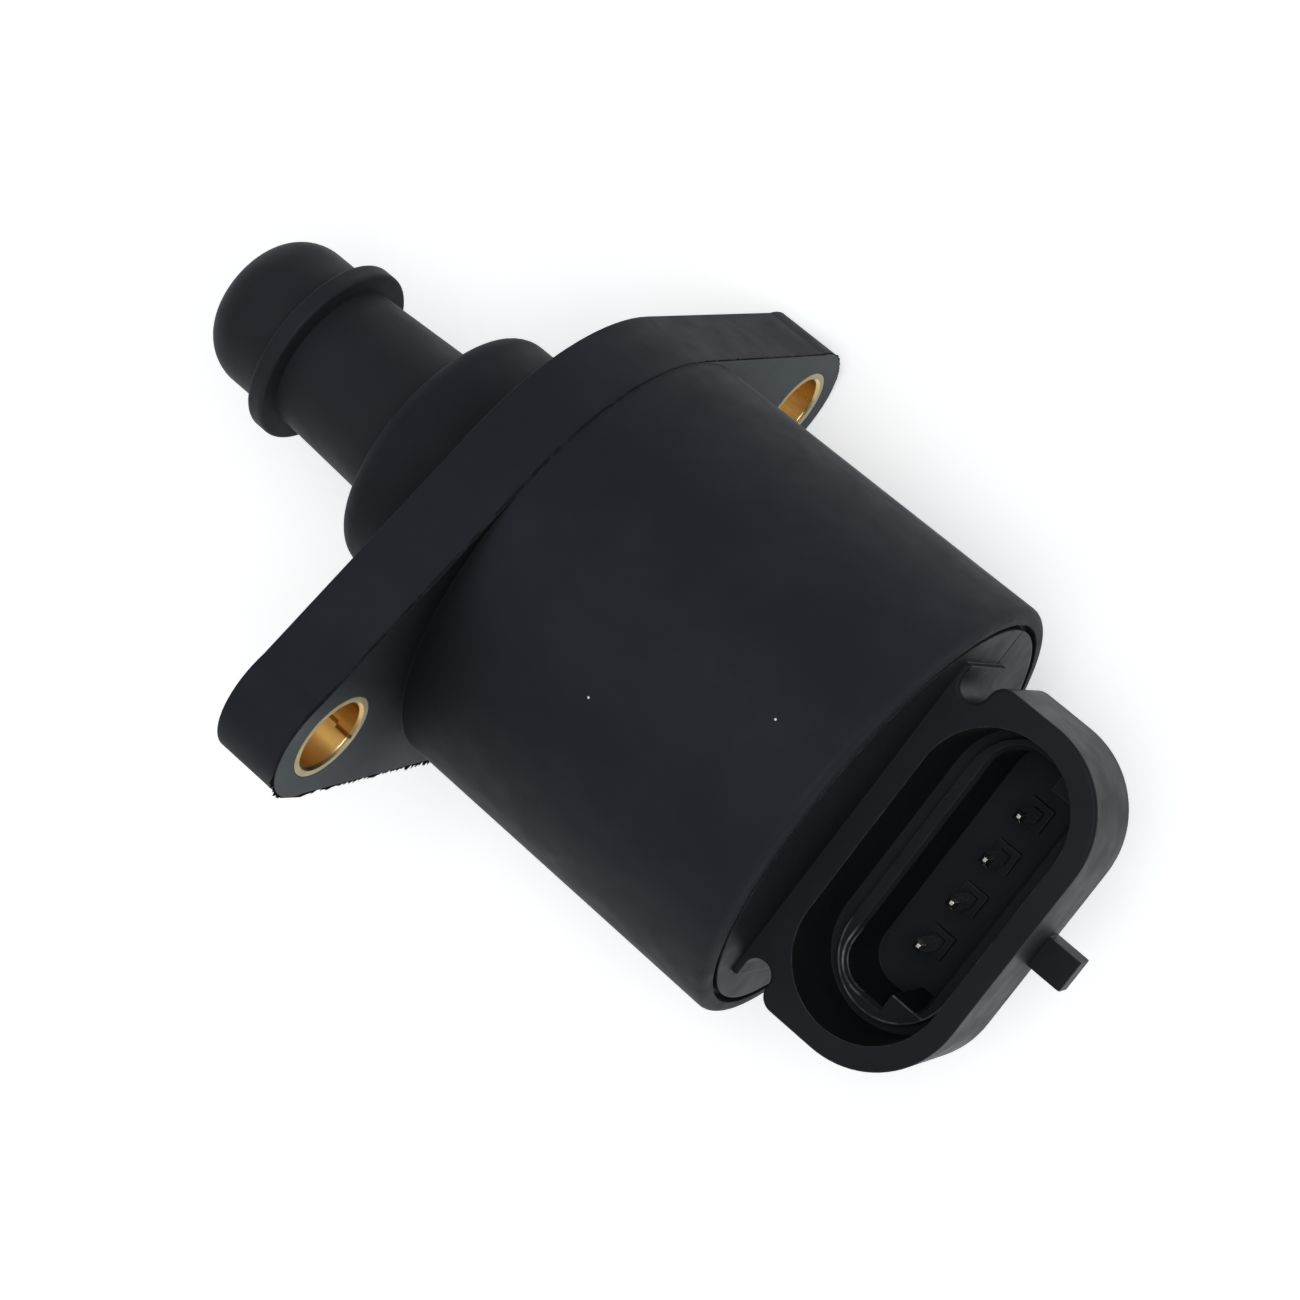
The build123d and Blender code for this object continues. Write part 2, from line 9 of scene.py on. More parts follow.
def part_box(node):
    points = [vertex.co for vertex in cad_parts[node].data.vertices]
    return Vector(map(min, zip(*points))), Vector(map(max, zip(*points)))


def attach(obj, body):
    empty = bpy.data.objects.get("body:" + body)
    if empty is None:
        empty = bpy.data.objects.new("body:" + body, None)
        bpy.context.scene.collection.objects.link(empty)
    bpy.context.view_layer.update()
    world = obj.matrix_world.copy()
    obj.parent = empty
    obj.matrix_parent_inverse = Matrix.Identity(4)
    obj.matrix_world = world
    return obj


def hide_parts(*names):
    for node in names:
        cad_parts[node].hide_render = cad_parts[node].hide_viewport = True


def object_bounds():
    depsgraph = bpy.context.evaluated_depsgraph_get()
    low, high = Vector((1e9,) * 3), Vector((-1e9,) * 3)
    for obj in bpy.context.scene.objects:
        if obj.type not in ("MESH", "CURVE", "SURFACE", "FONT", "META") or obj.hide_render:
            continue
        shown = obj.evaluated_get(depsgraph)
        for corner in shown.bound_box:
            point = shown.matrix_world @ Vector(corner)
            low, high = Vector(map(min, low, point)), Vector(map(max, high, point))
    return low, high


# Idle air control valve: looks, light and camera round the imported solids. Lengths are in metres.
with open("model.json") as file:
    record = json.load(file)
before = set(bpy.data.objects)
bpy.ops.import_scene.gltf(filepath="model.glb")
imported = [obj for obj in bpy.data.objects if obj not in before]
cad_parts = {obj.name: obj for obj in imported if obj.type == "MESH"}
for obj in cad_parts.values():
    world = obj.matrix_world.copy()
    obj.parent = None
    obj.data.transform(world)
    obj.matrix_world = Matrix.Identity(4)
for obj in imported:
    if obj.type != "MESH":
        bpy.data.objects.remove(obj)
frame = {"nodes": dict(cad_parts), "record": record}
nodes = frame["nodes"]
cad_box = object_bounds()

MM = 0.001

# Camera as the photograph was taken: place, turn about X, Y and Z in degrees, and focal length
CAMERA_PLACE = Vector((80.758, 44.703, 204.524)) * MM
CAMERA_TURN = (1.4897, 21.6484, 38.5406)
CAMERA_LENS = 86.862
SENSOR_WIDTH = 36.0
CLIP_START = 10 * MM

# Floor and its glow, which grows with the distance from the part
FLOOR_HALF = 3.0
FLOOR_DROP = 0.02 * MM
FLOOR_TONES = [(0.93, 0.95, 0.955), (0.95, 0.96, 0.96)]
FLOOR_GLOW_TONE = (0.97, 0.99, 1.0, 1)
FLOOR_NEAR = 80 * MM
FLOOR_FAR = 300 * MM
NEAR_GLOW = 0.44
FAR_GLOW = 0.95

# Sky, by height and by side, and the one lamp
SKY_MIDDLE = 0.55
SKY_TOP = 0.9
HORIZON_LIGHT = 0.22
MIDDLE_LIGHT = 0.31
ZENITH_LIGHT = 0.4
BRIGHT_SIDE = Vector((-0.2, -1.0, 0.0))
SIDE_SHARE = 0.65
LAMP_PLACE = Vector((95, 60, 270)) * MM
LAMP_SIZE = 160 * MM
LAMP_WATTS = 0.45

# Lead screw: one turn to each millimetre of plunger travel, then two shoulders along the shaft
THREAD_PITCH = 1.0 * MM
THREAD_DEPTH = 0.32 * MM
THREAD_FADE = 0.8 * MM
THREAD_CREST = 0.15
THREAD_FLANK = 0.7
THREAD_RINGS = 10
SCREW_SIDES = 32
SCREW_RADIUS = 2.0 * MM
SCREW_CHAMFER = 0.5 * MM
SEAT_RADIUS = 3.0 * MM
SEAT_START = 8.8 * MM
SEAT_END = 22.8 * MM
SHARP_ANGLE = math.radians(40)

# Rolled brass bushes: place of the upper one, its stepped joint and the browned parts of its bore
BUSH_Y = -15.684 * MM
BUSH_Z = 18.691 * MM
SEAM_STEP_X = 4.15 * MM
SEAM_STEP = 0.16 * MM
SEAM_HALF = 0.15 * MM
SEAM_BLUR = 0.02 * MM
BROWNED_END = 0.05 * MM
BROWNED_SHARE = 0.62
WORN_START = -1.2 * MM
WORN_END = -1.6 * MM
WORN_SHARE = 0.42

# Mould lines: one at the flange's rear edge, one across the notch beside the plug's neck
FLANGE_LINE_X = 5.38 * MM
FLANGE_LINE_HALF = 0.09 * MM
SPLIT_LINE_Z = -0.8 * MM
SPLIT_LINE_HALF = 0.06 * MM
SPLIT_LINE_START = 11.0 * MM
SPLIT_LINE_END = 36.2 * MM

# Flange outline: distance of each ear from the axis, the middle's radius and the ears', and the lean
EAR_REACH = 24.4 * MM
MIDDLE_RADIUS = 17.5 * MM
EAR_RADIUS = 5.25 * MM
EAR_SIDE_RADIUS = 5.15 * MM
FLANGE_LEAN = math.radians(130)

# Painted light on the ears' rear faces: how far along X it lies, and where along Y it begins and is strongest
FACE_LIMIT_X = 5.98 * MM
FACE_START = 11.0 * MM
FACE_END = 15.5 * MM
FACE_SHARE = 0.8

# Ragged flash along the flange's rear edge: its foot and tip, its reach, where it is worst and its grain
FLASH_FRONT = 5.34 * MM
FLASH_TIP = 5.46 * MM
FLASH_REAR = 5.45 * MM
FLASH_FOOT = 0.08 * MM
FLASH_REACH = 0.62 * MM
FLASH_SUNK = 0.06 * MM
FLASH_STEPS = 2400
FLASH_ROUGH_END = math.radians(62)
FLASH_TWIN_SHARE = 0.3
FLASH_CALM_SHARE = 0.14
FLASH_FINE = 0.3 * MM
FLASH_COARSE = 2.5 * MM

# Lower end of the socket, where glints are painted: centre line, outline of the collar and of the well in it,
# and the key's edge
PLUG_X = 41.05 * MM
COLLAR_TOP = -0.5 * MM
COLLAR_HALF_ROW = 11.2 * MM
COLLAR_HALF_WIDTH = 4.4 * MM
WELL_HALF_ROW = 10.15 * MM
WELL_HALF_WIDTH = 3.35 * MM
WELL_CORNER = 2.4 * MM
LEAD_IN = 0.3 * MM
KEY_X = 42.15 * MM
KEY_Y = -8.95 * MM
GLINT_HALF = 0.06 * MM
GLINT_START_Y = -6.5 * MM
GLINT_END_Y = -8.0 * MM
INNER_GLINT_START_X = 40.55 * MM
INNER_GLINT_END_X = 40.05 * MM
OUTER_GLINT_SHARE = 0.7

# Two grains of dust on top of the body
DUST_PLACES = [Vector((28.77, 4.27, 17.08)) * MM, Vector((17.92, -2.54, 17.32)) * MM]
DUST_SIZE = 0.1 * MM

# Soft ends of masks, rounding of edges and depth of relief in the finishes
FADE = 0.1 * MM
PLASTIC_EDGE = 0.18 * MM
METAL_EDGE = 0.1 * MM
PLASTIC_RELIEF = 0.02 * MM
METAL_RELIEF = 0.015 * MM

# Corners that escape rubbing, corners that get painted shade, and the heights that the painted shade grows
# between
NOOK_REACH = 0.5 * MM
SHADE_REACH = 12 * MM
SHADE_START = 5 * MM
SHADE_END = 13 * MM

# Darkest and lightest tone of each black moulding, and of the flash, whose extra darkness is painted shade
HOUSING_TONES = [(0.0114, 0.0131, 0.0182), (0.0143, 0.0164, 0.0225)]
CAP_TONES = [(0.0129, 0.0139, 0.0172), (0.0159, 0.0172, 0.0206)]
PLUNGER_TONES = [(0.0150, 0.0163, 0.0215), (0.0184, 0.0200, 0.0258)]
FLASH_SHADED_TONES = [(0.0012, 0.0012, 0.0015), (0.003, 0.003, 0.0036)]

# Marks on the black plastic: mould lines and painted shade, painted glints, worn edges with painted
# highlights, painted light on the ear faces, specks and dust; and the cast and share of its sheen
DARK_LINE_AND_SHADE_TONE = (0.002, 0.002, 0.0025)
GLINT_TONE = (0.17, 0.175, 0.185)
RUBBED_AND_HIGHLIGHT_TONE = (0.075, 0.078, 0.083)
FACE_LIGHT_TONE = (0.082, 0.095, 0.104)
SPECK_TONE = (0.55, 0.55, 0.53)
DUST_TONE = (0.75, 0.75, 0.73)
COOL_TINT = (0.87, 0.97, 1.0, 1.0)
SHEEN_SHARE = 0.44
SHEEN_ROUGHNESS = 0.12

# Brass of the bushes
BRASS_TONES = [(0.88, 0.61, 0.25), (0.98, 0.79, 0.41)]
BROWNED_TONE = (0.42, 0.22, 0.08)
SEAM_TONE = (0.26, 0.12, 0.04)
PIT_TONE = (0.10, 0.05, 0.02)
BUSH_END_TONE = (0.41, 0.35, 0.22)

# Ways that drawn, turned and pressed marks run
ALONG = (0.05, 1.0, 1.0)
ROUND = (1.0, 0.08, 0.08)
UPRIGHT = (1.0, 1.0, 0.3)


def blank(name):
    """New node material with its shader."""
    material = bpy.data.materials.new(name)
    material.use_nodes = True
    tree = material.node_tree
    return material, tree, tree.nodes["Principled BSDF"]


def add(tree, kind, values=None, **settings):
    """New shader node with settings by attribute and values by socket name."""
    made = tree.nodes.new(kind)
    for key, value in settings.items():
        setattr(made, key, value)
    for socket, value in (values or {}).items():
        made.inputs[socket].default_value = value
    return made


def place(tree):
    """Position on the part, in the part's own frame."""
    return add(tree, "ShaderNodeTexCoord").outputs["Object"]


def noise(tree, scale, detail=3.0, roughness=0.55, stretch=None):
    """Noise value over the part; scale is in features per metre."""
    texture = add(tree, "ShaderNodeTexNoise", {"Scale": scale, "Detail": detail, "Roughness": roughness})
    where = place(tree)
    if stretch:
        mapping = add(tree, "ShaderNodeMapping", {"Scale": stretch})
        tree.links.new(where, mapping.inputs["Vector"])
        where = mapping.outputs["Vector"]
    tree.links.new(where, texture.inputs["Vector"])
    return texture.outputs["Fac"]


def remap(tree, value, low, high, start, end):
    """Value stretched from low..high to start..end and held there."""
    values = {"From Min": low, "From Max": high, "To Min": start, "To Max": end}
    scale = add(tree, "ShaderNodeMapRange", values)
    tree.links.new(value, scale.inputs["Value"])
    return scale.outputs["Result"]


def combine(tree, operation, first, second):
    """Math on two values; the second may be a plain number."""
    made = add(tree, "ShaderNodeMath", operation=operation)
    tree.links.new(first, made.inputs[0])
    if isinstance(second, (int, float)):
        made.inputs[1].default_value = second
    else:
        tree.links.new(second, made.inputs[1])
    return made.outputs["Value"]


def two_tones(tree, value, low, high):
    """Colour that goes from low to high with a value."""
    ramp = add(tree, "ShaderNodeValToRGB")
    ramp.color_ramp.elements[0].position = 0.3
    ramp.color_ramp.elements[0].color = (*low, 1)
    ramp.color_ramp.elements[1].position = 0.7
    ramp.color_ramp.elements[1].color = (*high, 1)
    tree.links.new(value, ramp.inputs["Fac"])
    return ramp.outputs["Color"]


def overlay(tree, mask, under, colour):
    """Plain colour laid over another one where a mask is high."""
    mix = add(tree, "ShaderNodeMix", data_type="RGBA")
    tree.links.new(mask, mix.inputs["Factor"])
    tree.links.new(under, mix.inputs[6])
    mix.inputs[7].default_value = (*colour, 1)
    return mix.outputs[2]


def soft_edges(tree, radius):
    """Normal that rounds sharp edges, and a mask that is high along them."""
    bevel = add(tree, "ShaderNodeBevel", {"Radius": radius}, samples=6)
    facing = add(tree, "ShaderNodeNewGeometry").outputs["Normal"]
    turn = add(tree, "ShaderNodeVectorMath", operation="DOT_PRODUCT")
    tree.links.new(bevel.outputs["Normal"], turn.inputs[0])
    tree.links.new(facing, turn.inputs[1])
    mask = remap(tree, turn.outputs["Value"], 0.97, 0.75, 0.0, 1.0)
    return bevel.outputs["Normal"], mask


def grain(tree, shader, heights, strength, distance, normal=None):
    """Fine relief on the surface."""
    bump = add(tree, "ShaderNodeBump", {"Strength": strength, "Distance": distance})
    tree.links.new(heights, bump.inputs["Height"])
    if normal:
        tree.links.new(normal, bump.inputs["Normal"])
    tree.links.new(bump.outputs["Normal"], shader.inputs["Normal"])


def axes(tree):
    """Place along X, Y and Z as single values."""
    parts = add(tree, "ShaderNodeSeparateXYZ")
    tree.links.new(place(tree), parts.inputs["Vector"])
    return parts.outputs["X"], parts.outputs["Y"], parts.outputs["Z"]


def line(tree, value, centre, half):
    """Mask that is high within a half width of a centre; the centre may be a value or a number."""
    gap = combine(tree, "ABSOLUTE", combine(tree, "SUBTRACT", value, centre), 0.0)
    return remap(tree, gap, half * 1.5, half * 0.7, 0.0, 1.0)


def specks(tree, scale, size):
    """Mask of a few scattered dots of dust."""
    cells = add(tree, "ShaderNodeTexVoronoi", {"Scale": scale, "Randomness": 1.0})
    tree.links.new(place(tree), cells.inputs["Vector"])
    dots = remap(tree, cells.outputs["Distance"], size, size * 0.6, 0.0, 1.0)
    kept = remap(tree, noise(tree, scale * 0.6, 1.0), 0.56, 0.6, 0.0, 1.0)
    return combine(tree, "MULTIPLY", dots, kept)


def facing_along(tree, low=0.45, high=0.65):
    """Mask that is high where the surface faces along the valve's axis."""
    parts = add(tree, "ShaderNodeSeparateXYZ")
    tree.links.new(add(tree, "ShaderNodeNewGeometry").outputs["Normal"], parts.inputs["Vector"])
    return remap(tree, combine(tree, "ABSOLUTE", parts.outputs["X"], 0.0), low, high, 0.0, 1.0)


def hollows(tree, reach):
    """Mask that is high in corners and recesses."""
    shade = add(tree, "ShaderNodeAmbientOcclusion", {"Distance": reach}, samples=8)
    return remap(tree, shade.outputs["AO"], 0.9, 0.58, 0.0, 1.0)


def flange_face_light(tree):
    """Mask of painted light on the flange's flat rear faces out at the ears, strongest at their outer ends.
    """
    x, y, _ = axes(tree)
    flange = remap(tree, x, FACE_LIMIT_X, FACE_LIMIT_X - 2 * FADE, 0.0, FACE_SHARE)
    out = remap(tree, combine(tree, "ABSOLUTE", y, 0.0), FACE_START, FACE_END, 0.0, 1.0)
    ears = combine(tree, "MULTIPLY", flange, out)
    return combine(tree, "MULTIPLY", facing_along(tree, 0.8, 0.95), ears)


def flange_line(tree):
    """Mask of the broken mould line along the flange's rear edge."""
    x, _, _ = axes(tree)
    broken = remap(tree, noise(tree, 700, 2.0), 0.38, 0.52, 0.25, 1.0)
    across = combine(tree, "SUBTRACT", broken, facing_along(tree))
    mask = combine(tree, "MULTIPLY", line(tree, x, FLANGE_LINE_X, FLANGE_LINE_HALF), across)
    return combine(tree, "MAXIMUM", mask, 0.0)


def split_line(tree):
    """Mask of the mould line that goes on from the lid across the notch."""
    x, y, z = axes(tree)
    beside = remap(tree, y, SPLIT_LINE_START, SPLIT_LINE_START + FADE, 0.0, 1.0)
    before = remap(tree, x, SPLIT_LINE_END, SPLIT_LINE_END - FADE, 0.0, 1.0)
    mask = combine(tree, "MULTIPLY", line(tree, z, SPLIT_LINE_Z, SPLIT_LINE_HALF), beside)
    return combine(tree, "MULTIPLY", mask, before)


def past_end(tree, half_row, half_width, corner):
    """Distance outside the lower end of a rounded outline about the socket's centre line."""
    x, y, _ = axes(tree)
    across = combine(tree, "ABSOLUTE", combine(tree, "SUBTRACT", x, PLUG_X), 0.0)
    side = combine(tree, "MAXIMUM", combine(tree, "SUBTRACT", across, half_width - corner), 0.0)
    down = combine(tree, "MINIMUM", combine(tree, "ADD", y, half_row - corner), 0.0)
    side_square = combine(tree, "MULTIPLY", side, side)
    down_square = combine(tree, "MULTIPLY", down, down)
    away = combine(tree, "POWER", combine(tree, "ADD", side_square, down_square), 0.5)
    return combine(tree, "SUBTRACT", away, corner)


def collar_glint(tree):
    """Mask of painted highlights (glints) along the edges at the lower end of the socket's collar and its
    key.
    """
    x, y, z = axes(tree)
    well = past_end(tree, WELL_HALF_ROW, WELL_HALF_WIDTH, WELL_CORNER)
    inner = combine(tree, "MAXIMUM", line(tree, well, 0.0, GLINT_HALF), line(tree, well, LEAD_IN, GLINT_HALF))
    left = remap(tree, x, INNER_GLINT_START_X, INNER_GLINT_END_X, 0.0, 1.0)
    inner = combine(tree, "MULTIPLY", inner, left)
    collar = past_end(tree, COLLAR_HALF_ROW, COLLAR_HALF_WIDTH, COLLAR_HALF_WIDTH)
    outer = combine(tree, "MULTIPLY", line(tree, collar, -GLINT_HALF, GLINT_HALF), OUTER_GLINT_SHARE)
    lower = remap(tree, y, GLINT_START_Y, GLINT_END_Y, 0.0, 1.0)
    edges = combine(tree, "MULTIPLY", combine(tree, "MAXIMUM", inner, outer), lower)
    beside = remap(tree, x, KEY_X, KEY_X + FADE, 0.0, 1.0)
    key = combine(tree, "MULTIPLY", line(tree, y, KEY_Y, GLINT_HALF), beside)
    above = remap(tree, z, COLLAR_TOP - LEAD_IN - FADE, COLLAR_TOP - LEAD_IN, 0.0, 1.0)
    below = remap(tree, z, COLLAR_TOP + FADE, COLLAR_TOP + 2 * FADE, 1.0, 0.0)
    band = combine(tree, "MULTIPLY", above, below)
    broken = remap(tree, noise(tree, 800, 2.0), 0.36, 0.6, 0.2, 1.0)
    edges = combine(tree, "MULTIPLY", combine(tree, "MAXIMUM", edges, key), broken)
    return combine(tree, "MULTIPLY", edges, band)


def dust(tree):
    """Mask of single grains of dust."""
    mask = None
    for spot in DUST_PLACES:
        gap = add(tree, "ShaderNodeVectorMath", operation="DISTANCE")
        tree.links.new(place(tree), gap.inputs[0])
        gap.inputs[1].default_value = spot
        grain_mask = remap(tree, gap.outputs["Value"], DUST_SIZE, DUST_SIZE * 0.6, 0.0, 1.0)
        mask = combine(tree, "MAXIMUM", mask, grain_mask) if mask else grain_mask
    return mask


def moulded_plastic(name, tones, roughness, relief, shine, corner_shade, rub_and_highlight, marks=()):
    """Satin moulded plastic: uneven tone, rubbed edges that also carry a painted highlight, painted shade in
    corners that grows with height, eroded grain and a little dust.
    """
    material, tree, shader = blank(name)
    normal, edges = soft_edges(tree, PLASTIC_EDGE)
    tone = two_tones(tree, noise(tree, 160, 4.0), *tones)
    # Lighter edges: wear, and where the rub is strong, as on the cap, also a painted highlight
    clear = remap(tree, hollows(tree, NOOK_REACH), 0.0, 0.3, 1.0, 0.0)
    patches = remap(tree, noise(tree, 900), 0.35, 0.65, 0.0, rub_and_highlight)
    rubbed_and_highlit = combine(tree, "MULTIPLY", combine(tree, "MULTIPLY", edges, clear), patches)
    tone = overlay(tree, rubbed_and_highlit, tone, RUBBED_AND_HIGHLIGHT_TONE)
    for mark, colour in marks:
        tone = overlay(tree, mark(tree), tone, colour)
    # Painted shade: corners and recesses are darkened, more so higher up
    if corner_shade:
        _, _, height = axes(tree)
        share = remap(tree, height, SHADE_START, SHADE_END, 0.1 * corner_shade, corner_shade)
        painted_shade = combine(tree, "MULTIPLY", hollows(tree, SHADE_REACH), share)
        tone = overlay(tree, painted_shade, tone, DARK_LINE_AND_SHADE_TONE)
    tone = overlay(tree, specks(tree, 75, 0.012), tone, SPECK_TONE)
    tone = overlay(tree, dust(tree), tone, DUST_TONE)
    tree.links.new(tone, shader.inputs["Base Color"])
    gloss = remap(tree, noise(tree, 420, 5.0), 0.3, 0.7, roughness - 0.05, roughness + 0.07)
    tree.links.new(gloss, shader.inputs["Roughness"])
    shader.inputs["Specular IOR Level"].default_value = shine
    shader.inputs["Specular Tint"].default_value = COOL_TINT
    shader.inputs["Sheen Tint"].default_value = COOL_TINT
    shader.inputs["Sheen Weight"].default_value = SHEEN_SHARE * shine
    shader.inputs["Sheen Roughness"].default_value = SHEEN_ROUGHNESS
    grain(tree, shader, noise(tree, 5200, 3.0, 0.7), relief, PLASTIC_RELIEF, normal)
    return material


def plain_plastic(name, low, high, roughness):
    """Natural unfilled plastic of an inner piece."""
    material, tree, shader = blank(name)
    tree.links.new(two_tones(tree, noise(tree, 260), low, high), shader.inputs["Base Color"])
    tree.links.new(remap(tree, noise(tree, 700), 0.3, 0.7, roughness - 0.06, roughness + 0.06),
                   shader.inputs["Roughness"])
    shader.inputs["Subsurface Weight"].default_value = 0.08
    shader.inputs["Subsurface Radius"].default_value = (0.8 * MM, 0.7 * MM, 0.5 * MM)
    grain(tree, shader, noise(tree, 3200), 0.15, PLASTIC_RELIEF)
    return material


def metal(name, low, high, roughness, stretch, relief=0.2):
    """Bare metal with drawn or turned marks; stretch sets the way of the marks."""
    material, tree, shader = blank(name)
    marks = noise(tree, 900, 4.0, 0.65, stretch)
    stains = noise(tree, 300, 4.0)
    tree.links.new(two_tones(tree, stains, low, high), shader.inputs["Base Color"])
    gloss = combine(tree, "ADD", remap(tree, marks, 0.3, 0.7, -0.06, 0.08),
                    remap(tree, stains, 0.3, 0.7, roughness - 0.04, roughness + 0.06))
    tree.links.new(gloss, shader.inputs["Roughness"])
    shader.inputs["Metallic"].default_value = 1.0
    normal, _ = soft_edges(tree, METAL_EDGE)
    grain(tree, shader, marks, relief, METAL_RELIEF, normal)
    return material


def bush_brass(name):
    """Brass strip rolled into a bush: bright bore, dull pale ends and a stepped joint with a browned side."""
    material, tree, shader = blank(name)
    x, y, z = axes(tree)
    side = combine(tree, "SIGN", z, 0.0)
    across = combine(tree, "SUBTRACT", combine(tree, "MULTIPLY", y, side), BUSH_Y)
    up = combine(tree, "SUBTRACT", combine(tree, "MULTIPLY", z, side), BUSH_Z)
    lower = remap(tree, up, 0.0, -2 * FADE, 0.0, 1.0)
    joint = remap(tree, x, SEAM_STEP_X - SEAM_BLUR, SEAM_STEP_X + SEAM_BLUR, SEAM_STEP, -SEAM_STEP / 2)
    seam = combine(tree, "MULTIPLY", line(tree, across, joint, SEAM_HALF), lower)
    past = combine(tree, "SUBTRACT", across, joint)
    aged = remap(tree, past, -SEAM_BLUR, BROWNED_END, 0.0, BROWNED_SHARE)
    worn = remap(tree, across, WORN_START, WORN_END, 0.0, WORN_SHARE)
    browned = combine(tree, "MULTIPLY", combine(tree, "ADD", aged, worn), lower)
    marks = noise(tree, 900, 4.0, 0.65, ALONG)
    stains = noise(tree, 420, 5.0)
    tone = two_tones(tree, stains, *BRASS_TONES)
    tone = overlay(tree, browned, tone, BROWNED_TONE)
    tone = overlay(tree, seam, tone, SEAM_TONE)
    tone = overlay(tree, specks(tree, 330, 0.09), tone, PIT_TONE)
    ends = facing_along(tree, 0.82, 0.92)
    tone = overlay(tree, ends, tone, BUSH_END_TONE)
    tree.links.new(tone, shader.inputs["Base Color"])
    dull = combine(tree, "MULTIPLY", ends, 0.2)
    gloss = combine(tree, "ADD", remap(tree, marks, 0.3, 0.7, 0.24, 0.38), dull)
    tree.links.new(gloss, shader.inputs["Roughness"])
    shader.inputs["Metallic"].default_value = 1.0
    normal, _ = soft_edges(tree, METAL_EDGE)
    grain(tree, shader, marks, 0.35, METAL_RELIEF, normal)
    return material


def copper_winding(name):
    """Enamelled wire laid in close turns round the valve's axis."""
    material, tree, shader = blank(name)
    turns = add(tree, "ShaderNodeTexWave", {"Scale": 400.0, "Distortion": 0.6, "Detail": 1.0},
                wave_type="BANDS", bands_direction="X", wave_profile="SIN")
    tree.links.new(place(tree), turns.inputs["Vector"])
    tree.links.new(two_tones(tree, turns.outputs["Fac"], (0.16, 0.045, 0.015), (0.62, 0.24, 0.09)),
                   shader.inputs["Base Color"])
    tree.links.new(remap(tree, noise(tree, 1500), 0.3, 0.7, 0.22, 0.4), shader.inputs["Roughness"])
    shader.inputs["Metallic"].default_value = 0.85
    shader.inputs["Coat Weight"].default_value = 0.4
    grain(tree, shader, turns.outputs["Fac"], 0.6, 0.1 * MM)
    return material


def magnet_ferrite(name):
    """Pressed ferrite: dark, matt and faintly pitted."""
    material, tree, shader = blank(name)
    pits = noise(tree, 2600, 4.0)
    tone = two_tones(tree, pits, (0.02, 0.02, 0.022), (0.05, 0.05, 0.055))
    tree.links.new(tone, shader.inputs["Base Color"])
    tree.links.new(remap(tree, pits, 0.3, 0.7, 0.45, 0.65), shader.inputs["Roughness"])
    shader.inputs["Metallic"].default_value = 0.3
    grain(tree, shader, pits, 0.3, 0.03 * MM)
    return material


def seal_rubber(name):
    """Smooth black rubber with a faint bloom."""
    material, tree, shader = blank(name)
    bloom = noise(tree, 350, 4.0)
    tone = two_tones(tree, bloom, (0.008, 0.008, 0.008), (0.02, 0.02, 0.021))
    tree.links.new(tone, shader.inputs["Base Color"])
    tree.links.new(remap(tree, bloom, 0.3, 0.7, 0.5, 0.7), shader.inputs["Roughness"])
    grain(tree, shader, noise(tree, 2400), 0.1, 0.01 * MM)
    return material


def make_materials():
    """One finish for each material slot of the record."""
    # After the maker's name: moulded_plastic has tones, roughness, relief, shine, painted corner shade, edge
    # rub with painted highlight and marks, plain_plastic has two tones and roughness, metal has two tones,
    # roughness, way of the marks and relief
    table = [
        ("housing_plastic", moulded_plastic, HOUSING_TONES, 0.66, 0.22, 0.16, 0.95, 0.3,
         [(flange_face_light, FACE_LIGHT_TONE), (flange_line, DARK_LINE_AND_SHADE_TONE)]),
        ("cap_plastic", moulded_plastic, CAP_TONES, 0.42, 0.08, 0.05, 0.0, 1.0,
         [(split_line, DARK_LINE_AND_SHADE_TONE), (collar_glint, GLINT_TONE)]),
        ("plunger_plastic", moulded_plastic, PLUNGER_TONES, 0.62, 0.15, 0.18, 0.3, 0.4),
        ("bush_brass", bush_brass),
        ("nut_brass", metal, (0.60, 0.40, 0.15), (0.74, 0.52, 0.22), 0.28, ROUND),
        ("bush_bronze", metal, (0.34, 0.19, 0.08), (0.46, 0.27, 0.12), 0.42, ROUND),
        ("screw_steel", metal, (0.42, 0.42, 0.43), (0.56, 0.56, 0.57), 0.25, ROUND),
        ("hub_plastic", plain_plastic, (0.60, 0.57, 0.48), (0.68, 0.65, 0.57), 0.45),
        ("magnet", magnet_ferrite),
        ("bearing_steel", metal, (0.55, 0.55, 0.56), (0.64, 0.64, 0.65), 0.14, ROUND, 0.08),
        ("cage_plastic", plain_plastic, (0.50, 0.43, 0.28), (0.58, 0.50, 0.34), 0.42),
        ("stator_steel", metal, (0.46, 0.47, 0.47), (0.58, 0.59, 0.60), 0.34, UPRIGHT),
        ("bobbin_plastic", plain_plastic, (0.58, 0.54, 0.45), (0.66, 0.62, 0.53), 0.48),
        ("coil_wire", copper_winding),
        ("spring_steel", metal, (0.30, 0.30, 0.31), (0.42, 0.42, 0.43), 0.3, ROUND),
        ("seal_rubber", seal_rubber),
        ("contact_pin", metal, (0.62, 0.61, 0.58), (0.76, 0.75, 0.72), 0.22, (1.0, 1.0, 0.08)),
    ]
    return {slot: make(slot, *values) for slot, make, *values in table}


def dress(materials):
    """Give every node the finish of its slot."""
    for part in frame["record"]["subparts"]:
        mesh = nodes[part["node"]].data
        mesh.materials.clear()
        mesh.materials.append(materials[part["material_slot"]])


def thread_dip(x, turn, end):
    """Depth of the right-hand groove at a place along the screw and an angle in turns."""
    slope = abs(2 * ((x / THREAD_PITCH - turn) % 1.0) - 1)
    fade = min(1.0, max(0.0, (end - x) / THREAD_FADE))
    return THREAD_DEPTH * fade * min(1.0, max(0.0, (slope - THREAD_CREST) / THREAD_FLANK))


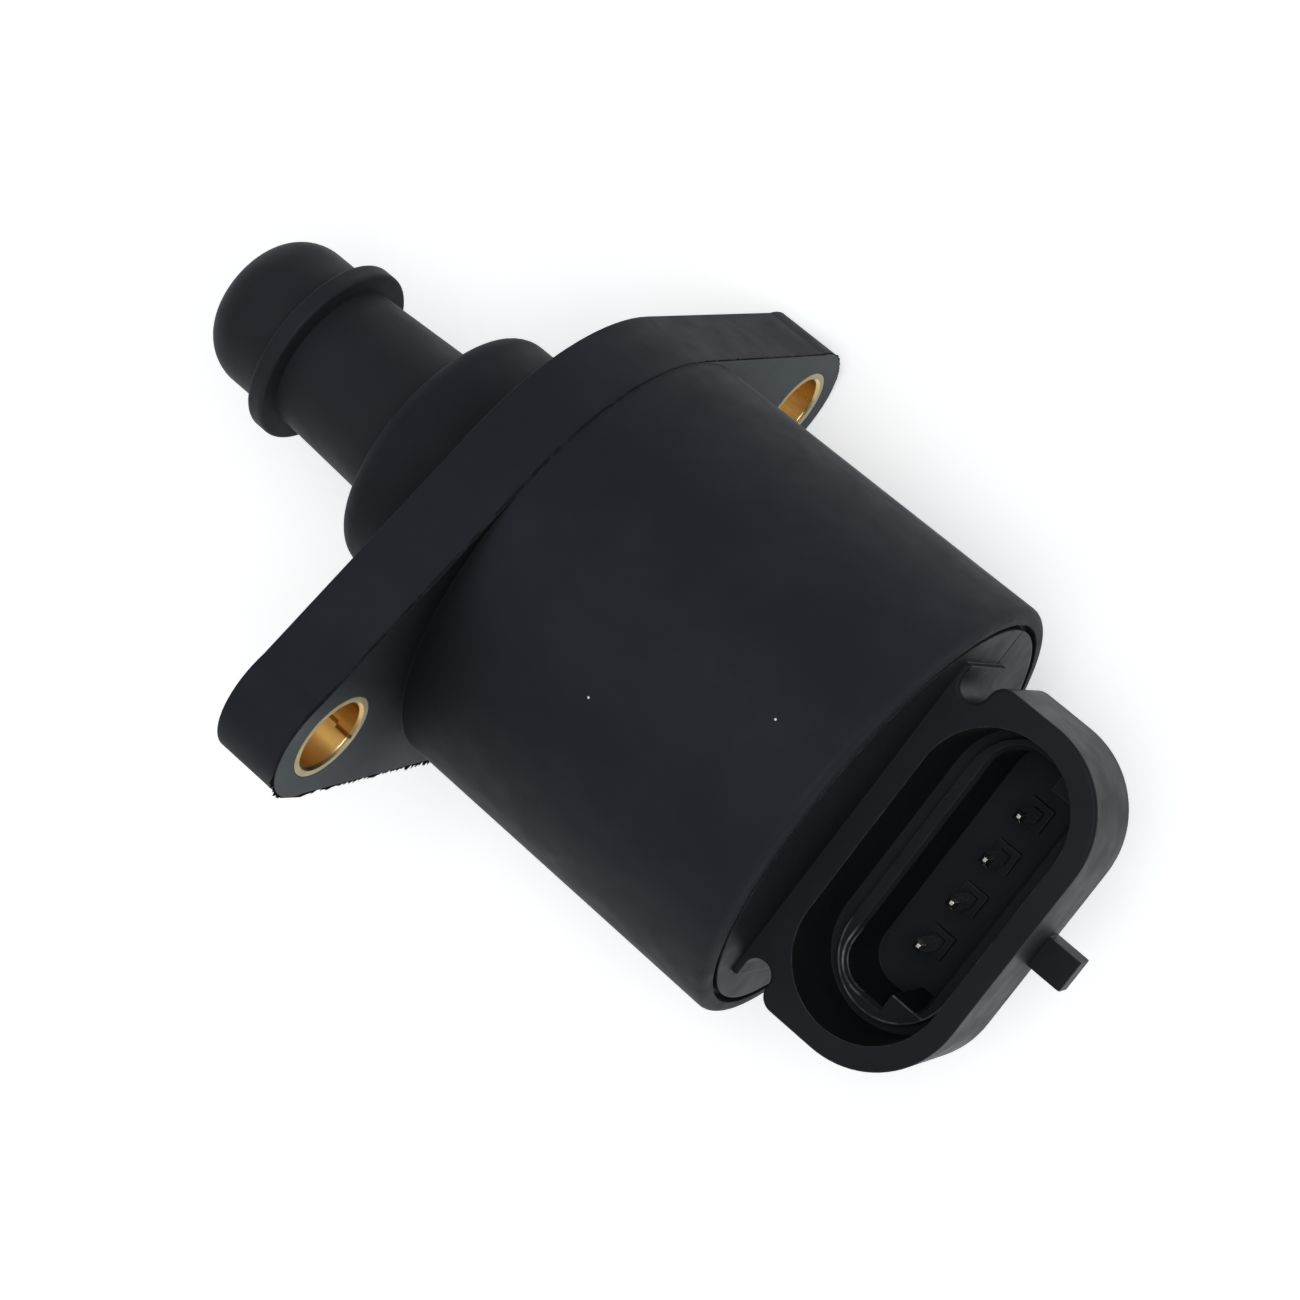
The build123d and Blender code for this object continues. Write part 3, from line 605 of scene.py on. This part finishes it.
def screw_stations(tip, rear):
    """Places along the shaft with its radius there and whether the thread is cut."""
    start = tip + SCREW_CHAMFER
    count = round((SEAT_START - start) / THREAD_PITCH * THREAD_RINGS)
    stations = [(tip, SCREW_RADIUS - SCREW_CHAMFER, False)]
    for k in range(count + 1):
        stations.append((start + (SEAT_START - start) * k / count, SCREW_RADIUS, True))
    stations += [(SEAT_START, SEAT_RADIUS, False), (SEAT_END, SEAT_RADIUS, False)]
    return stations + [(SEAT_END, SCREW_RADIUS, False), (rear, SCREW_RADIUS, False)]


def bridge(work, first, second):
    """Band of faces between two rings with the same number of points."""
    for k in range(len(first)):
        work.faces.new((first[k - 1], first[k], second[k], second[k - 1]))


def add_piece(name, work, material):
    """New object from a finished bmesh, with one material."""
    bmesh.ops.recalc_face_normals(work, faces=work.faces)
    mesh = bpy.data.meshes.new(name)
    work.to_mesh(mesh)
    work.free()
    mesh.materials.append(material)
    piece = bpy.data.objects.new(name, mesh)
    bpy.context.scene.collection.objects.link(piece)
    return piece


def make_screw(material):
    """Lead screw with its thread cut, in place of the plain shaft."""
    low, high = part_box("lead_screw")
    work = bmesh.new()
    rings = []
    for x, radius, threaded in screw_stations(low.x, high.x):
        ring = []
        for k in range(SCREW_SIDES):
            turn = k / SCREW_SIDES
            angle = 2 * math.pi * turn
            out = radius - (thread_dip(x, turn, SEAT_START) if threaded else 0)
            ring.append(work.verts.new((x, out * math.cos(angle), out * math.sin(angle))))
        rings.append(ring)
    for first, second in zip(rings, rings[1:]):
        bridge(work, first, second)
    work.faces.new(rings[0])
    work.faces.new(rings[-1])
    screw = add_piece("threaded_screw", work, material)
    screw.data.shade_smooth()
    screw.data.set_sharp_from_angle(angle=SHARP_ANGLE)
    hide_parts("lead_screw")
    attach(screw, "rotor")


def flange_radius(angle):
    """Distance from the axis to the flange's edge, at an angle from the line through both holes."""
    along, across = abs(math.cos(angle)), abs(math.sin(angle))
    radius = MIDDLE_RADIUS
    slope = (MIDDLE_RADIUS - EAR_SIDE_RADIUS) / EAR_REACH
    side = MIDDLE_RADIUS / (slope * along + math.sqrt(1 - slope * slope) * across)
    if MIDDLE_RADIUS * slope < side * along < EAR_REACH + EAR_SIDE_RADIUS * slope:
        radius = max(radius, side)
    room = EAR_RADIUS ** 2 - (EAR_REACH * across) ** 2
    if room > 0:
        radius = max(radius, EAR_REACH * along + math.sqrt(room))
    return radius


def flash_width(point, angle):
    """Ragged reach of the flash, largest on one side of the first ear; below zero it stays hidden."""
    share = FLASH_CALM_SHARE
    if angle % math.pi < FLASH_ROUGH_END:
        share = 1.0 if angle < math.pi else FLASH_TWIN_SHARE
    ragged = 0.6 * perlin.noise(point / FLASH_FINE) + 0.4 * perlin.noise(point / FLASH_COARSE)
    return FLASH_REACH * share * max(0.0, 0.5 + ragged) - FLASH_SUNK


def make_flash():
    """Thin ragged fin that the mould left along the flange's rear edge, kept inside the part's box; its dark
    tone is painted shade.
    """
    low, high = cad_box
    work = bmesh.new()
    rings = []
    for k in range(FLASH_STEPS):
        angle = 2 * math.pi * k / FLASH_STEPS
        out = Vector((0, math.cos(angle + FLANGE_LEAN), math.sin(angle + FLANGE_LEAN)))
        edge = flange_radius(angle)
        foot = edge - FLASH_FOOT
        tip = edge + flash_width(out * edge, angle)
        ring = []
        for x, radius in ((FLASH_FRONT, foot), (FLASH_TIP, tip), (FLASH_REAR, foot)):
            y = min(max(out.y * radius, low.y), high.y)
            z = min(max(out.z * radius, low.z), high.z)
            ring.append(work.verts.new((x, y, z)))
        rings.append(ring)
    for k in range(FLASH_STEPS):
        bridge(work, rings[k - 1], rings[k])
    # The fin is of the housing's plastic; its much darker tones are painted shade
    material = moulded_plastic("flash_shaded_plastic", FLASH_SHADED_TONES, 0.8, 0.22, 0.02, 0.0, 0.0)
    flash = add_piece("flange_flash", work, material)
    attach(flash, "valve_body")


def make_floor():
    """Pale floor under the lowest point of the part."""
    low, _ = cad_box
    bpy.ops.mesh.primitive_plane_add(size=2 * FLOOR_HALF, location=(0, 0, low.z - FLOOR_DROP))
    floor = bpy.context.object
    floor.name = "floor"
    material, tree, shader = blank("floor_paper")
    tone = two_tones(tree, noise(tree, 3.0, 2.0), *FLOOR_TONES)
    tree.links.new(tone, shader.inputs["Base Color"])
    shader.inputs["Roughness"].default_value = 0.8
    shader.inputs["Specular IOR Level"].default_value = 0.1
    shader.inputs["Emission Color"].default_value = FLOOR_GLOW_TONE
    gap = add(tree, "ShaderNodeVectorMath", operation="LENGTH")
    tree.links.new(place(tree), gap.inputs[0])
    glow = remap(tree, gap.outputs["Value"], FLOOR_NEAR, FLOOR_FAR, NEAR_GLOW, FAR_GLOW)
    tree.links.new(glow, shader.inputs["Emission Strength"])
    floor.data.materials.append(material)


def grey(level):
    """Neutral colour of one level."""
    return (level, level, level, 1)


def make_sky():
    """Soft light from all round, brighter overhead and on one side."""
    world = bpy.data.worlds.new("studio")
    bpy.context.scene.world = world
    world.use_nodes = True
    tree = world.node_tree
    way = add(tree, "ShaderNodeTexCoord").outputs["Generated"]
    height = add(tree, "ShaderNodeSeparateXYZ")
    tree.links.new(way, height.inputs["Vector"])
    ramp = add(tree, "ShaderNodeValToRGB")
    horizon, zenith = ramp.color_ramp.elements
    horizon.position = 0.0
    horizon.color = grey(HORIZON_LIGHT)
    zenith.position = SKY_TOP
    zenith.color = grey(ZENITH_LIGHT)
    middle = ramp.color_ramp.elements.new(SKY_MIDDLE)
    middle.color = grey(MIDDLE_LIGHT)
    tree.links.new(height.outputs["Z"], ramp.inputs["Fac"])
    side = add(tree, "ShaderNodeVectorMath", operation="DOT_PRODUCT")
    tree.links.new(way, side.inputs[0])
    side.inputs[1].default_value = BRIGHT_SIDE
    share = remap(tree, side.outputs["Value"], -1.0, 1.0, 1.0 - SIDE_SHARE, 1.0 + SIDE_SHARE)
    tree.links.new(ramp.outputs["Color"], tree.nodes["Background"].inputs["Color"])
    tree.links.new(share, tree.nodes["Background"].inputs["Strength"])


def make_lamp():
    """Square soft lamp overhead that faces the part."""
    lamp = bpy.data.lights.new("overhead", "AREA")
    lamp.size = LAMP_SIZE
    lamp.energy = LAMP_WATTS
    stand = bpy.data.objects.new("overhead", lamp)
    stand.location = LAMP_PLACE
    stand.rotation_euler = (-stand.location).to_track_quat("-Z", "Y").to_euler()
    bpy.context.scene.collection.objects.link(stand)


def make_camera():
    """Camera where the photograph was taken from."""
    view = bpy.data.cameras.new("camera")
    view.lens = CAMERA_LENS
    view.sensor_width = SENSOR_WIDTH
    view.clip_start = CLIP_START
    camera = bpy.data.objects.new("camera", view)
    camera.location = CAMERA_PLACE
    camera.rotation_euler = [math.radians(turn) for turn in CAMERA_TURN]
    bpy.context.scene.collection.objects.link(camera)
    bpy.context.scene.camera = camera


finishes = make_materials()
dress(finishes)
make_screw(finishes["screw_steel"])
make_flash()
make_floor()
make_sky()
make_lamp()
make_camera()
bpy.context.scene.view_settings.view_transform = "Standard"
